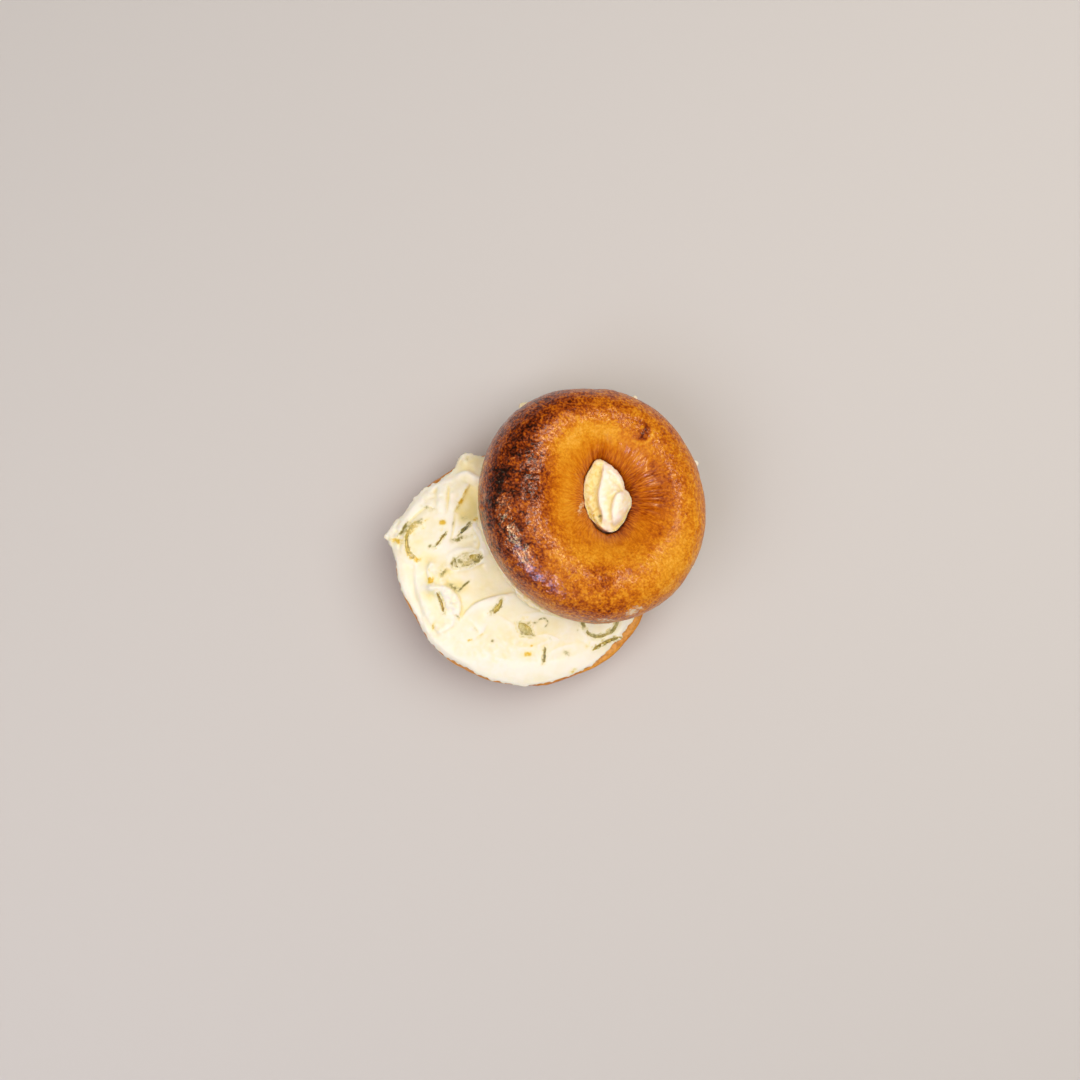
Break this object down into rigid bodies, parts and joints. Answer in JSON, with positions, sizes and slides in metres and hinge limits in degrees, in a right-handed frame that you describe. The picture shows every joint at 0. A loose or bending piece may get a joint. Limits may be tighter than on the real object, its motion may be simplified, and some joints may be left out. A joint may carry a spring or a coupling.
{
  "type": "bagel with cream cheese",
  "caption": "Ring-shaped bread roll cut in two, thickly spread with cream cheese and pickled pepper, its domed top half laid askew on the bottom half.",
  "frame": {"origin": "middle of the whole bagel's footprint, on the surface that it lies on", "axes": "+Z up, +X to the right and +Y up as seen from straight above, with the top half slid towards +X and +Y"},
  "size_m": [0.1324, 0.1238, 0.0551],
  "materials": {
    "crust": "satin",
    "pale_crust": "matte",
    "cheese": "satin",
    "pepper": "gloss"
  },
  "bodies": {
    "root": {"bottom_half": "pale_crust", "lower_spread": "cheese", "upper_spread": "cheese", "top_half": "crust", "pepper_ring": "pepper", "pepper_curl": "pepper", "pepper_stick": "pepper", "pepper_sliver": "pepper", "pepper_slit": "pepper", "pepper_stripe": "pepper", "pepper_rim_strip": "pepper", "pepper_short": "pepper", "pepper_wedge": "pepper", "pepper_oval": "pepper"}
  },
  "joints": []
}
